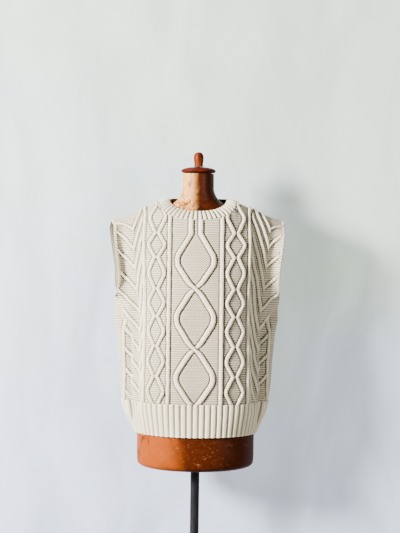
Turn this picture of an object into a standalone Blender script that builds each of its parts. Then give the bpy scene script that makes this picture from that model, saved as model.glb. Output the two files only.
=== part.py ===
"""A cable-knit sweater vest shown on a limbless dress form with a pole and a round foot.

The vest is cloth: seven knitted pieces, each a wall a few millimetres thick, laid on one
surface. That surface is a net of wales (lines that run from the front hem, over the
shoulder, to the back hem) and rows. A point on it is (s, t): s is the distance across the
knitting from its centre line, t the distance along it from the top of the hem rib.
Tables are in millimetres, and their heights are above one datum, near the torso's underside.
"""

import math

import bpy
import numpy as np

MM = 0.001

# ---------------------------------------------------------------- driving sizes, in mm
DATUM = 650.0  # the level that the tables' heights start from, above the floor
FOOT_RADIUS = 180.0
FOOT_EDGE = 9.0
HUB_RADIUS = 24.0
HUB_TOP = 46.0
SOCKET_DEPTH = 34.0
POLE_RADIUS = 12.5
POLE_IN_TORSO = 70.0
SLIDING_GAP = 0.5
GAP = 0.5  # between pieces that meet
KNIT_WALL = 4.0
RIB_WALL = 3.2
BAND_WALL = 4.0

HEM_HEIGHT = 91.0
HEM_HALF_WIDTH = 167.0
HEM_FRONT = 119.0
HEM_BACK = 121.0
HEM_EASE = 0.2  # how much more the rib draws in at the sides than at the front

HALF_FLAT_WIDTH = 270.0  # centre line to side seam, across the flat knitting
NECK_POINT = 112.0  # s of the corner where neckline and shoulder seam meet
NECK_FRONT_HEIGHT = 676.0
NECK_BACK_HEIGHT = 714.0
NECK_ROUNDNESS = 2.6
COLLAR_HALF_WIDTH = 78.0
COLLAR_FRONT = (66.0, 700.0)  # depth and height of the neckband's top edge
COLLAR_BACK = (58.0, 736.0)
COLLAR_SIDE_HEIGHT = 733.0
COLLAR_ROUNDNESS = 2.2
COLLAR_PUFF = 2.5
ARM_BAND = 12.0
ARM_BAND_TURN = 34.0  # length over which the armhole band swings round the underarm
UNDERARM_ROW = "underarm"

# Wales that the net is built on, as their distance from the centre line.
WALES = (0.0, 70.0, 147.0, 192.0, 228.0, HALF_FLAT_WIDTH)

# Rows of the body from the top of the hem rib up to the yoke. x is shared by front and back.
# height, x of each wale after the centre one, front depth of each wale, back depth.
BODY_ROWS = (
    ("rib top", 182, (71, 141, 165, 181, 200), (131, 127, 97, 66, 50, 0), (126, 122, 94, 64, 50, 0)),
    ("blouse", 225, (71, 141, 165, 184, 207), (138, 134, 104, 71, 52, 0), (131, 127, 99, 69, 52, 0)),
    ("waist", 300, (71, 139, 163, 184, 212), (136, 132, 103, 68, 50, 0), (124, 120, 96, 66, 50, 0)),
    ("ribs", 390, (70, 135, 161, 186, 220), (134, 130, 101, 66, 50, 0), (119, 115, 93, 64, 50, 0)),
    (UNDERARM_ROW, 456, (69, 134, 162, 190, 226), (133, 128, 100, 66, 54, 0), (118, 113, 92, 64, 52, 0)),
    ("underarm curve", 472, (69, 134, 164, 192, 225), (132, 127, 99, 66, 50, 39), (118, 113, 92, 64, 53, 34)),
    ("chest", 520, (69, 136, 171, 196, 222), (126, 120, 94, 60, 45, 57), (116, 110, 90, 62, 54, 52)),
    ("upper chest", 590, (69, 140, 181, 205, 230), (109, 103, 80, 51, 38, 50), (112, 105, 84, 57, 50, 46)),
    ("shoulder front", 640, (69, 143, 187, 210, 236), (93, 87, 62, 38, 28, 33), (101, 95, 70, 45, 39, 30)),
)
# The last two rows have a height for each wale. The first two wales end at the neckline,
# below these rows, so their points here only lead the surface towards the neck.
YOKE_FRONT = ((68, 140, 190, 212, 237), (68, 62, 36, 22, 18, 15), (698, 701, 692, 676, 669, 660))
YOKE_BACK = ((68, 140, 190, 212, 237), (66, 60, 40, 28, 24, 21), (722, 714, 692, 676, 669, 660))
SHOULDER = ((68, 142, 186, 212, 238.5), (5, 0, -4, -4, -4, -4), (745, 738, 712, 691.5, 682, 673))

# Folds: panel (-1 front, 1 back), side (-1 or 1), s where it runs, s where it ends above,
# t of its low end, of its bend and of its top end, half width, depth (below 0: a ridge).
FOLDS = (
    ("side crease", -1, -1, 224, 262, -70, 175, 262, 10, 11),
    ("side roll", -1, -1, 248, 272, -80, 175, 258, 15, -5),
    ("side crease", -1, 1, 220, 256, -80, 165, 262, 11, 12),
    ("side roll", -1, 1, 245, 270, -80, 165, 258, 15, -5),
    ("side crease", 1, -1, 226, 260, -60, 170, 258, 12, 9),
    ("side crease", 1, 1, 223, 260, -70, 165, 258, 11, 10),
    ("blouse trough", -1, -1, 176, 182, -30, 60, 120, 13, 4),
    ("blouse trough", -1, 1, 172, 178, -30, 70, 150, 14, 5),
    ("blouse trough", 1, -1, 120, 126, -30, 60, 130, 16, 4),
    ("blouse trough", 1, 1, 136, 130, -30, 60, 150, 16, 5),
    ("shoulder drag", -1, 1, 168, 150, 330, 430, 545, 14, 4),
    ("shoulder drag", -1, -1, 172, 158, 350, 430, 545, 13, 3),
)
RIGHT_ARMHOLE_FRONT = 9.0  # the front edge of the armhole at -x is drawn in by this
RIGHT_ARMHOLE_BACK = -7.0  # and its back edge stands out by this
RIGHT_SIDE_EASE = 4.0  # below the armhole the side at -x hangs this much further out

# Horizontal rings of the torso: height, half width, depth in front, depth behind.
TORSO_RINGS = (
    (-4, 138, 97, 97),
    (0, 151, 106, 106),
    (10, 160, 112.5, 112.5),
    (40, 161.5, 114, 115),
    (95, 161.5, 113, 117),
    (150, 154, 106, 111),
    (210, 137, 95, 97),
    (265, 122, 88, 84),
    (320, 126, 94, 84),
    (380, 138, 108, 91),
    (430, 148, 117, 97),
    (480, 155, 114, 101),
    (530, 163, 106, 101),
    (580, 172, 93, 96),
    (620, 180, 80, 88),
    (650, 183, 70, 77),
    (672, 177, 61, 66),
    (688, 159, 52, 57),
    (699, 134, 47, 52),
    (708, 102, 44.5, 49),
    (716, 80, 43.8, 47),
    (725, 63, 43.3, 45.5),
    (736, 52.5, 43, 44.2),
    (748, 46, 43, 43.5),
    (762, 43, 42.7, 42.7),
    (802, 42.5, 42.5, 42.5),
)

# Turned profiles, outer side from the axis at the top down: radius, height.
NECK_CAP = (
    (0, 821), (16, 820.5), (34, 818), (44, 814.5),
    (48, 810.5), (46.5, 806.5), (43.5, 803.5), (0, 803.5),
)
KNOB = (
    (0, 861.5), (5.5, 860.8), (10, 858), (13, 853), (14, 846.5),
    (13.2, 838), (12, 830), (12, 822.4), (13.5, 822.4), (13.5, 821.6), (0, 821.6),
)

# ---------------------------------------------------------------- how finely each piece is cut
NECK_COLUMNS = 8
SHOULDER_COLUMNS = 9
SIDE_SEAM_STEPS = 9
RIB_STEPS = 4
COLLAR_STEPS = 3
ARM_BAND_STEPS = 13
RING_POINTS = 36
TURNED_STEPS = 32
SEAM_SPLIT = np.array([0.1, 0.2, 1.0])  # a direction along which no seam lies level


def clear_scene():
    for thing in list(bpy.data.objects):
        bpy.data.objects.remove(thing)


def new_collection(name):
    collection = bpy.data.collections.new(name)
    bpy.context.scene.collection.children.link(collection)
    return collection


def new_material(name, colour, roughness, metallic=0.0):
    material = bpy.data.materials.new(name)
    material.use_nodes = True
    surface = material.node_tree.nodes["Principled BSDF"]
    surface.inputs["Base Color"].default_value = (*colour, 1.0)
    surface.inputs["Roughness"].default_value = roughness
    surface.inputs["Metallic"].default_value = metallic
    return material


def new_piece(name, mesh, material, collection):
    """A named object for a finished mesh, shaded smooth except at its sharp edges."""
    mesh.validate()
    mesh.shade_smooth()
    mesh.set_sharp_from_angle(angle=math.radians(40))
    mesh.materials.append(material)
    piece = bpy.data.objects.new(name, mesh)
    collection.objects.link(piece)
    return piece


# ---------------------------------------------------------------- curves through the tables
def monotone_slopes(knots, values):
    """Slopes of a cubic through the values that never overshoots them."""
    step = np.diff(knots)[:, None]
    rise = np.diff(values, axis=0) / step
    slopes = np.zeros_like(values)
    before, after = rise[:-1], rise[1:]
    weight_before = 2 * step[1:] + step[:-1]
    weight_after = step[1:] + 2 * step[:-1]
    same_way = before * after > 0
    safe_before = np.where(same_way, before, 1.0)
    safe_after = np.where(same_way, after, 1.0)
    mean = (weight_before + weight_after) / (weight_before / safe_before + weight_after / safe_after)
    slopes[1:-1] = np.where(same_way, mean, 0.0)
    slopes[0] = rise[0]
    slopes[-1] = rise[-1]
    return slopes


def hermite(knots, values, slopes, at):
    """Points of a cubic with these values and slopes at its knots."""
    span = np.clip(np.searchsorted(knots, at, side="right") - 1, 0, len(knots) - 2)
    length = (knots[span + 1] - knots[span])[:, None]
    part = ((at - knots[span])[:, None]) / length
    low, high = values[span], values[span + 1]
    slope_low, slope_high = slopes[span] * length, slopes[span + 1] * length
    square, cube = part**2, part**3
    return (
        (2 * cube - 3 * square + 1) * low
        + (cube - 2 * square + part) * slope_low
        + (3 * square - 2 * cube) * high
        + (cube - square) * slope_high
    )


def smooth_step(x):
    x = np.clip(x, 0.0, 1.0)
    return x * x * (3 - 2 * x)


# ---------------------------------------------------------------- the cloth's surface
def around_hips(share, depth):
    """The point of the hem at a share of its quarter ellipse, from the front or back centre."""
    angles = np.linspace(0, math.pi / 2, 400)
    across, along = HEM_HALF_WIDTH * np.sin(angles), depth * np.cos(angles)
    length = np.concatenate([[0], np.cumsum(np.hypot(np.diff(across), np.diff(along)))])
    eased = share * (1 + HEM_EASE * (1 - share**2))
    angle = np.interp(eased * length[-1], length, angles)
    return HEM_HALF_WIDTH * math.sin(angle), depth * math.cos(angle)


def net_rows():
    """Every row of the net from the front hem to the back hem, as (wale, xyz) arrays."""
    shares = [s / HALF_FLAT_WIDTH for s in WALES]
    rows = {-1: [], 1: []}
    for side, depth, column in ((-1, HEM_FRONT, 3), (1, HEM_BACK, 4)):
        hem = [around_hips(share, depth) for share in shares]
        rows[side].append([(x, side * y, HEM_HEIGHT) for x, y in hem])
        for row in BODY_ROWS:
            rows[side].append([(x, side * y, row[1]) for x, y in zip((0, *row[2]), row[column])])
        yoke = YOKE_FRONT if side < 0 else YOKE_BACK
        rows[side].append([(x, side * y, z) for x, y, z in zip((0, *yoke[0]), yoke[1], yoke[2])])
    top = [(x, -y, z) for x, y, z in zip((0, *SHOULDER[0]), SHOULDER[1], SHOULDER[2])]
    return np.array(rows[-1] + [top] + rows[1][::-1], float)


NET = net_rows()
FRONT_ROWS = len(BODY_ROWS) + 2  # hem, body rows and yoke, below the shoulder seam
RUN = np.linalg.norm(np.diff(NET[: FRONT_ROWS + 1, 2], axis=0), axis=1)
FRONT_T = np.concatenate([[0], np.cumsum(RUN)]) - RUN[0]  # 0 at the top of the rib
SEAM_T = FRONT_T[-1]
ROW_T = np.concatenate([FRONT_T, 2 * SEAM_T - FRONT_T[-2::-1]])
HEM_T = FRONT_T[0]
UNDERARM_T = FRONT_T[1 + [row[0] for row in BODY_ROWS].index(UNDERARM_ROW)]
NET_SLOPES = [monotone_slopes(ROW_T, NET[:, wale]) for wale in range(len(WALES))]


def wale_points(t):
    return np.stack([hermite(ROW_T, NET[:, w], NET_SLOPES[w], t) for w in range(len(WALES))])


def base_surface(s, t):
    """The cloth with no folds: a cubic across the wales, closed round the side seam."""
    knots = np.array(WALES)
    here, beyond = wale_points(t), wale_points(2 * SEAM_T - t)
    step = np.diff(knots)[:, None, None]
    rise = np.diff(here, axis=0) / step
    slopes = np.zeros_like(here)
    slopes[1:-1] = (rise[:-1] * step[1:] + rise[1:] * step[:-1]) / (step[1:] + step[:-1])
    slopes[0] = rise[0] * np.array([1.0, 0.0, 0.0])
    from_seam = SEAM_T - np.abs(SEAM_T - t)
    closed = (1 - smooth_step((from_seam - UNDERARM_T) / 40.0))[:, None]
    round_seam = (beyond[-2] - here[-2]) / (2 * step[-1])
    slopes[-1] = closed * round_seam + (1 - closed) * rise[-1]
    size = np.abs(s)
    span = np.clip(np.searchsorted(knots, size, side="right") - 1, 0, len(knots) - 2)
    index = np.arange(len(size))
    length = (knots[span + 1] - knots[span])[:, None]
    part = (size - knots[span])[:, None] / length
    low, high = here[span, index], here[span + 1, index]
    slope_low, slope_high = slopes[span, index] * length, slopes[span + 1, index] * length
    square, cube = part**2, part**3
    point = (
        (2 * cube - 3 * square + 1) * low
        + (cube - 2 * square + part) * slope_low
        + (3 * square - 2 * cube) * high
        + (cube - square) * slope_high
    )
    point[:, 0] *= np.where(s < 0, -1.0, 1.0)
    return point


def normals_of(surface, s, t):
    """Unit normals that point out of the garment."""
    reach = 0.5
    across = surface(s + reach, t) - surface(s - reach, t)
    along = surface(s, t + reach) - surface(s, t - reach)
    normal = np.cross(across, along)
    return normal / np.linalg.norm(normal, axis=1)[:, None]


def fold_depth(s, t):
    """How far the folds push the cloth in at each point."""
    depth = np.zeros_like(s)
    front = t < SEAM_T
    from_seam = SEAM_T - np.abs(SEAM_T - t)
    for _name, panel, side, s_low, s_high, low, bend, high, half_width, deep in FOLDS:
        runs_at = s_low + (s_high - s_low) * smooth_step((from_seam - bend) / (high - bend))
        fade = smooth_step((from_seam - low) / 45.0) * smooth_step((high - from_seam) / 45.0)
        here = (front == (panel < 0)) & (np.sign(s) == side)
        away = (np.abs(s) - runs_at) / half_width
        depth += here * fade * deep * np.exp(-(away**2))
    return depth


def cloth(s, t):
    """Points of the garment's outer surface at (s, t), in mm, above the datum."""
    s, t = np.asarray(s, float), np.asarray(t, float)
    inside = np.clip(np.abs(s), 0, HALF_FLAT_WIDTH - 1.0) * np.sign(s)
    point = base_surface(s, t) - normals_of(base_surface, inside, t) * fold_depth(s, t)[:, None]
    from_seam = SEAM_T - np.abs(SEAM_T - t)
    armhole = smooth_step((from_seam - UNDERARM_T) / 60.0) * smooth_step((SEAM_T - from_seam) / 70.0)
    pull = np.where(t < SEAM_T, RIGHT_ARMHOLE_FRONT, RIGHT_ARMHOLE_BACK)
    below_armhole = smooth_step((UNDERARM_T + 20 - from_seam) / 60.0)
    ease = RIGHT_SIDE_EASE * smooth_step((from_seam - HEM_T) / 60.0) * below_armhole
    right_side = smooth_step((np.abs(s) - 190.0) / 80.0) * (s < 0)
    point[:, 0] += (pull * armhole - ease) * right_side
    return point


def cloth_normals(s, t):
    inside = np.clip(np.abs(s), 0, HALF_FLAT_WIDTH - 0.6) * np.sign(s)
    normal = normals_of(cloth, inside, t)
    # Both panels share one direction along the side seam, so that their walls meet flush.
    seam = (np.abs(s) > HALF_FLAT_WIDTH - 2.0) & (SEAM_T - np.abs(SEAM_T - t) <= UNDERARM_T + 1.0)
    other = normals_of(cloth, inside, 2 * SEAM_T - t)
    shared = normal + other
    shared /= np.linalg.norm(shared, axis=1)[:, None]
    return np.where(seam[:, None], shared, normal)


# ---------------------------------------------------------------- walls of cloth
def wall_mesh(name, outer, inner, loop=False):
    """A closed wall between two skins of points, as (row, column, xyz) arrays in mm."""
    rows, columns = outer.shape[:2]
    points = np.concatenate([outer.reshape(-1, 3), inner.reshape(-1, 3)])
    points[:, 2] += DATUM
    start = rows * columns
    faces = []
    spans = columns if loop else columns - 1
    for row in range(rows - 1):
        for column in range(spans):
            after = (column + 1) % columns
            a, b = row * columns + column, row * columns + after
            c, d = b + columns, a + columns
            faces.append((a, b, c, d))
            faces.append((start + a, start + d, start + c, start + b))
    # The rim is cut into triangles by one rule, so that two walls that meet at a seam match.
    key = points @ SEAM_SPLIT

    def rim(a, b, flipped):
        low, high = (a, b) if key[a] < key[b] else (b, a)
        pair = [(low, high, start + high), (low, start + high, start + low)]
        if flipped != (low != a):
            pair = [triangle[::-1] for triangle in pair]
        faces.extend(pair)

    for row, flipped in ((0, True), (rows - 1, False)):
        for column in range(spans):
            rim(row * columns + column, row * columns + (column + 1) % columns, flipped)
    if not loop:
        for column, flipped in ((0, False), (columns - 1, True)):
            for row in range(rows - 1):
                rim(row * columns + column, (row + 1) * columns + column, flipped)
    mesh = bpy.data.meshes.new(name)
    mesh.from_pydata([tuple(p) for p in points * MM], [], faces)
    return mesh


def facing_out(mesh):
    """Turns the faces round if the closed mesh is inside out."""
    mesh.calc_loop_triangles()
    points = np.array([v.co for v in mesh.vertices])
    corners = points[np.array([t.vertices for t in mesh.loop_triangles])]
    if np.linalg.det(corners).sum() < 0:
        mesh.flip_normals()
    return mesh


def skins(s, t, wall):
    """Outer and inner points of the cloth at grids of s and t."""
    shape = (*s.shape, 3)
    outer = cloth(s.ravel(), t.ravel())
    inner = outer - cloth_normals(s.ravel(), t.ravel()) * wall
    return outer.reshape(shape), inner.reshape(shape)


def neck_cut(s, panel):
    """The t at which the neckline or the shoulder seam ends each wale of a panel."""
    front = panel < 0
    height = NECK_FRONT_HEIGHT if front else NECK_BACK_HEIGHT
    corner = base_surface(np.array([NECK_POINT]), np.array([SEAM_T]))[0, 2]
    share = np.clip(np.abs(s) / NECK_POINT, 0, 1)
    cut_height = height + (corner - height) * (1 - np.sqrt(1 - share**NECK_ROUNDNESS))
    low = np.full_like(s, FRONT_T[-4])
    high = np.full_like(s, SEAM_T)
    for _halving in range(40):
        middle = (low + high) / 2
        t = middle if front else 2 * SEAM_T - middle
        below = base_surface(s, t)[:, 2] < cut_height
        low = np.where(below, middle, low)
        high = np.where(below, high, middle)
    cut = np.where(share >= 1, SEAM_T, (low + high) / 2)
    return cut if front else 2 * SEAM_T - cut


def column_places():
    """s of the columns: closer together towards the steep side of the neckline."""
    neck = NECK_POINT * np.sin(np.linspace(0, math.pi / 2, NECK_COLUMNS + 1))
    shoulder = np.linspace(NECK_POINT, HALF_FLAT_WIDTH, SHOULDER_COLUMNS + 1)[1:]
    half = np.concatenate([neck, shoulder])
    return np.concatenate([-half[:0:-1], half])


def arm_band_parts():
    """Shares of the way from the foot of the armhole band to the shoulder, closer together low down."""
    return np.linspace(0, 1, ARM_BAND_STEPS + 1) ** 1.4


def arm_band_join(from_seam):
    """s of the line where a panel ends and its armhole band begins."""
    return HALF_FLAT_WIDTH - ARM_BAND * smooth_step((from_seam - (UNDERARM_T - ARM_BAND)) / ARM_BAND_TURN)


def panel_mesh(name, panel):
    columns = column_places()
    cut = neck_cut(columns, panel)
    start = 0.0 if panel < 0 else 2 * SEAM_T
    band_foot = (UNDERARM_T - ARM_BAND) / SEAM_T
    beside_band = band_foot + (1 - band_foot) * arm_band_parts()[1:]
    part = np.concatenate([np.linspace(0, band_foot, SIDE_SEAM_STEPS + 1), beside_band])[:, None]
    t = start + (cut - start)[None, :] * part
    t += np.where(part == 0, GAP / 2, 0) * -panel
    t -= np.where(part == 1, GAP / 2, 0) * -panel
    from_seam = SEAM_T - np.abs(SEAM_T - t)
    size = np.abs(columns)[None, :] * np.ones_like(t)
    outer_part = np.clip((size - 200.0) / (HALF_FLAT_WIDTH - 200.0), 0, 1)
    limit = arm_band_join(from_seam) - GAP / 2
    s = np.sign(columns) * (size + outer_part * (limit - HALF_FLAT_WIDTH))
    outer, inner = skins(s, t, KNIT_WALL)
    return facing_out(wall_mesh(name, outer, inner))


def rib_mesh(name, panel):
    columns = column_places()
    limit = HALF_FLAT_WIDTH - GAP / 2
    s = np.clip(columns, -limit, limit)[None, :] * np.ones((RIB_STEPS + 1, 1))
    t = np.linspace(HEM_T, -GAP / 2, RIB_STEPS + 1)[:, None] * np.ones((1, len(columns)))
    if panel > 0:
        t = 2 * SEAM_T - t
    outer, inner = skins(s, t, RIB_WALL)
    return facing_out(wall_mesh(name, outer, inner))


def collar_edge(angle):
    """The neckband's top edge, from the front centre round by the +x side."""
    across = np.sin(angle)
    front = np.cos(angle) > 0
    depth = np.where(front, COLLAR_FRONT[0], COLLAR_BACK[0])
    height = np.where(front, COLLAR_FRONT[1], COLLAR_BACK[1])
    dip = 1 - np.sqrt(np.clip(1 - np.abs(across) ** COLLAR_ROUNDNESS, 0, 1))
    z = height + (COLLAR_SIDE_HEIGHT - height) * dip
    return np.stack([COLLAR_HALF_WIDTH * across, -depth * np.cos(angle), z], axis=1)


def collar_mesh(name):
    angle = np.linspace(0, 2 * math.pi, 4 * NECK_COLUMNS, endpoint=False)
    s = NECK_POINT * np.sin(angle)
    front = np.cos(angle) > 1e-9
    t = np.where(front, neck_cut(s, -1), neck_cut(s, 1))
    join = cloth(s, t)
    join_normal = cloth_normals(s, t)
    edge = collar_edge(angle)
    across = edge - join
    across /= np.linalg.norm(across, axis=1)[:, None]
    join = join + across * GAP / 2
    along = np.roll(edge, -1, axis=0) - np.roll(edge, 1, axis=0)
    edge_normal = np.cross(along, across)
    edge_normal /= np.linalg.norm(edge_normal, axis=1)[:, None]
    outer, inner = [], []
    for part in np.linspace(0, 1, COLLAR_STEPS + 1):
        normal = join_normal * (1 - part) + edge_normal * part
        normal /= np.linalg.norm(normal, axis=1)[:, None]
        puff = COLLAR_PUFF * math.sin(math.pi * part)
        point = join * (1 - part) + edge * part + normal * puff
        outer.append(point)
        inner.append(point - normal * BAND_WALL)
    return facing_out(wall_mesh(name, np.array(outer), np.array(inner), loop=True))


def arm_band_mesh(name, side):
    """A ring round the armhole: up the front edge, then down the back edge."""
    low = UNDERARM_T - ARM_BAND
    part = arm_band_parts()
    t_join = low + part * (SEAM_T - low)
    t_edge = UNDERARM_T + part * (SEAM_T - UNDERARM_T)
    s_join = arm_band_join(t_join) + GAP / 2
    s_join = np.where(part == 0, HALF_FLAT_WIDTH, s_join)
    t_join = np.where(part == 0, t_join + GAP, t_join)
    s_edge = np.full_like(part, HALF_FLAT_WIDTH)
    back = slice(-2, 0, -1)
    s = np.stack([np.concatenate([v, v[back]]) for v in (s_join, (s_join + s_edge) / 2, s_edge)])
    t_middle = (t_join + t_edge) / 2
    t = np.stack([np.concatenate([v, 2 * SEAM_T - v[back]]) for v in (t_join, t_middle, t_edge)])
    outer, inner = skins(side * s, t, BAND_WALL)
    return facing_out(wall_mesh(name, outer, inner, loop=True))


# ---------------------------------------------------------------- the dress form
def torso_mesh(name):
    """Rings of an oval that is rounder in front than behind, closed at both ends."""
    points = []
    for height, half_width, front, back in TORSO_RINGS:
        for step in range(RING_POINTS):
            angle = 2 * math.pi * step / RING_POINTS
            depth = front if math.cos(angle) > 0 else back
            points.append((half_width * math.sin(angle), -depth * math.cos(angle), height + DATUM))
    faces = []
    for ring in range(len(TORSO_RINGS) - 1):
        for step in range(RING_POINTS):
            a, b = ring * RING_POINTS + step, ring * RING_POINTS + (step + 1) % RING_POINTS
            faces.append((a, b, b + RING_POINTS, a + RING_POINTS))
    last = (len(TORSO_RINGS) - 1) * RING_POINTS
    faces.append(tuple(range(RING_POINTS))[::-1])
    faces.append(tuple(range(last, last + RING_POINTS)))
    mesh = bpy.data.meshes.new(name)
    mesh.from_pydata([tuple(c * MM for c in p) for p in points], [], faces)
    return facing_out(mesh)


def cylinder(name, radius, bottom, top, material, collection, hidden=False):
    bpy.ops.mesh.primitive_cylinder_add(
        vertices=TURNED_STEPS, radius=radius * MM, depth=(top - bottom) * MM,
        location=(0, 0, (top + bottom) / 2 * MM),
    )
    piece = bpy.context.object
    piece.name = name
    for owner in list(piece.users_collection):
        owner.objects.unlink(piece)
    collection.objects.link(piece)
    piece.data.materials.append(material)
    if hidden:
        piece.hide_render = True
        piece.display_type = "WIRE"
    else:
        piece.data.shade_smooth()
        piece.data.set_sharp_from_angle(angle=math.radians(40))
    return piece


def turned(name, profile, lift, material, collection):
    """A profile of (radius, height), turned once round the Z axis."""
    mesh = bpy.data.meshes.new(name)
    points = [(radius * MM, 0.0, (height + lift) * MM) for radius, height in profile]
    mesh.from_pydata(points, [(i, i + 1) for i in range(len(points) - 1)], [])
    piece = new_piece(name, mesh, material, collection)
    screw = piece.modifiers.new("turn", "SCREW")
    screw.steps = TURNED_STEPS
    screw.render_steps = TURNED_STEPS
    screw.use_merge_vertices = True
    screw.merge_threshold = 0.00001
    screw.use_normal_calculate = False
    return piece


def build_form(collection, cutters, materials):
    torso = new_piece("torso", torso_mesh("torso"), materials["bust"], collection)
    socket_radius = POLE_RADIUS + SLIDING_GAP
    socket = cylinder(
        "pole_socket", socket_radius, DATUM - 10, DATUM + POLE_IN_TORSO + SLIDING_GAP,
        materials["iron"], cutters, hidden=True,
    )
    cut = torso.modifiers.new("pole socket", "BOOLEAN")
    cut.operation = "DIFFERENCE"
    cut.object = socket
    turned("neck_cap", NECK_CAP, DATUM, materials["cap"], collection)
    turned("neck_knob", KNOB, DATUM, materials["knob"], collection)
    foot_profile = (
        (0, HUB_TOP - SOCKET_DEPTH),
        (socket_radius, HUB_TOP - SOCKET_DEPTH),
        (socket_radius, HUB_TOP),
        (HUB_RADIUS - 2, HUB_TOP),
        (HUB_RADIUS, HUB_TOP - 2),
        (HUB_RADIUS, 24),
        (HUB_RADIUS + 8, 18),
        (FOOT_RADIUS * 0.55, 14.5),
        (FOOT_RADIUS - 8, FOOT_EDGE + 2.5),
        (FOOT_RADIUS - 2, FOOT_EDGE),
        (FOOT_RADIUS, FOOT_EDGE - 3),
        (FOOT_RADIUS, 0),
        (0, 0),
    )
    turned("stand_foot", foot_profile, 0, materials["iron"], collection)
    cylinder(
        "stand_pole", POLE_RADIUS, HUB_TOP - SOCKET_DEPTH + GAP, DATUM + POLE_IN_TORSO,
        materials["iron"], collection,
    )


def build_vest(collection, wool):
    meshes = {
        "vest_front": panel_mesh("vest_front", -1),
        "vest_back": panel_mesh("vest_back", 1),
        "hem_rib_front": rib_mesh("hem_rib_front", -1),
        "hem_rib_back": rib_mesh("hem_rib_back", 1),
        "neckband": collar_mesh("neckband"),
        "armhole_band_left": arm_band_mesh("armhole_band_left", 1),
        "armhole_band_right": arm_band_mesh("armhole_band_right", -1),
    }
    for name, mesh in meshes.items():
        new_piece(name, mesh, wool, collection)


def main():
    clear_scene()
    collection = new_collection("sweater vest on a dress form")
    cutters = new_collection("cutters")
    materials = {
        "bust": new_material("varnished papier-mache", (0.36, 0.13, 0.04), 0.35),
        "cap": new_material("turned cap wood", (0.26, 0.05, 0.02), 0.35),
        "knob": new_material("turned knob wood", (0.42, 0.14, 0.04), 0.35),
        "iron": new_material("blackened iron", (0.03, 0.03, 0.032), 0.4, 0.8),
    }
    build_form(collection, cutters, materials)
    build_vest(collection, new_material("cream wool", (0.78, 0.74, 0.64), 0.9))


main()
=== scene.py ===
import math
import bpy
import numpy as np
from mathutils import Matrix, Vector


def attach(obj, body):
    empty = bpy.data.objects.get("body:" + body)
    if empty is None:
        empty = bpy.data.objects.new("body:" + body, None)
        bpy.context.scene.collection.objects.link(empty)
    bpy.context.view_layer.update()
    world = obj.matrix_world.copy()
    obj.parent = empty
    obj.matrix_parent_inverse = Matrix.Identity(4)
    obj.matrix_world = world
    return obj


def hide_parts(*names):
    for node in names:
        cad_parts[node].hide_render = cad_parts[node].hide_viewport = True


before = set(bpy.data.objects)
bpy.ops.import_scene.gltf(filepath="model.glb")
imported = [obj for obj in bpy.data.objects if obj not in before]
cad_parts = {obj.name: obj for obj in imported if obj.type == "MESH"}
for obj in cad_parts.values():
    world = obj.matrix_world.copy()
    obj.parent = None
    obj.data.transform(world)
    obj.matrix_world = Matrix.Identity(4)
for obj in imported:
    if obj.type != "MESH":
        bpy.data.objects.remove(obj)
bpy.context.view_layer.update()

mm = 0.001

# helpers for materials

def setSocket(tree, socket, value):
    if isinstance(value, bpy.types.NodeSocket):
        tree.links.new(value, socket)
    elif isinstance(value, tuple) and len(socket.default_value) == 4:
        socket.default_value = (*value, 1)
    else:
        socket.default_value = value


def compute(tree, operation, *values):
    node = tree.nodes.new("ShaderNodeMath")
    node.operation = operation
    for socket, value in zip(node.inputs, values):
        setSocket(tree, socket, value)
    return node.outputs[0]


def mapped(tree, value, low, high, toLow=0.0, toHigh=1.0):
    node = tree.nodes.new("ShaderNodeMapRange")
    node.interpolation_type = "SMOOTHSTEP"
    for socket, given in zip(node.inputs, (value, low, high, toLow, toHigh)):
        setSocket(tree, socket, given)
    return node.outputs[0]


def blended(tree, share, first, second, kind="MIX"):
    node = tree.nodes.new("ShaderNodeMix")
    node.data_type = "RGBA"
    node.blend_type = kind
    setSocket(tree, node.inputs[0], share)
    setSocket(tree, node.inputs[6], first)
    setSocket(tree, node.inputs[7], second)
    return node.outputs[2]


def noise(tree, at, scale, detail=4.0, roughness=0.55, distortion=0.0):
    node = tree.nodes.new("ShaderNodeTexNoise")
    setSocket(tree, node.inputs["Vector"], at)
    settings = {"Scale": scale, "Detail": detail, "Roughness": roughness, "Distortion": distortion}
    for name, value in settings.items():
        node.inputs[name].default_value = value
    return node.outputs[0], node.outputs[1]


def stretched(tree, at, scale):
    node = tree.nodes.new("ShaderNodeMapping")
    setSocket(tree, node.inputs["Vector"], at)
    node.inputs["Scale"].default_value = scale
    return node.outputs[0]


def split(tree, vector):
    node = tree.nodes.new("ShaderNodeSeparateXYZ")
    setSocket(tree, node.inputs[0], vector)
    return node.outputs


def newGroup(name, inputs, outputs):
    group = bpy.data.node_groups.new(name, "ShaderNodeTree")
    for label in inputs:
        group.interface.new_socket(label, in_out="INPUT", socket_type="NodeSocketVector")
    for label in outputs:
        group.interface.new_socket(label, in_out="OUTPUT", socket_type="NodeSocketFloat")
    return group, group.nodes.new("NodeGroupInput").outputs, group.nodes.new("NodeGroupOutput").inputs


def useGroup(tree, group, *values):
    node = tree.nodes.new("ShaderNodeGroup")
    node.node_tree = group
    for socket, value in zip(node.inputs, values):
        setSocket(tree, socket, value)
    return node.outputs


def newMaterial(name, settings):
    material = bpy.data.materials.new(name)
    material.use_nodes = True
    tree = material.node_tree
    surface = tree.nodes["Principled BSDF"]
    for label, value in settings.items():
        setSocket(tree, surface.inputs[label], value)
    return material, tree, surface


def addBump(tree, surface, height, distance, strength=1.0):
    bump = tree.nodes.new("ShaderNodeBump")
    bump.inputs["Distance"].default_value = distance
    bump.inputs["Strength"].default_value = strength
    setSocket(tree, bump.inputs["Height"], height)
    setSocket(tree, surface.inputs["Normal"], bump.outputs[0])


def objectPlace(tree):
    return tree.nodes.new("ShaderNodeTexCoord").outputs["Object"]


# camera, stage and lights

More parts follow.
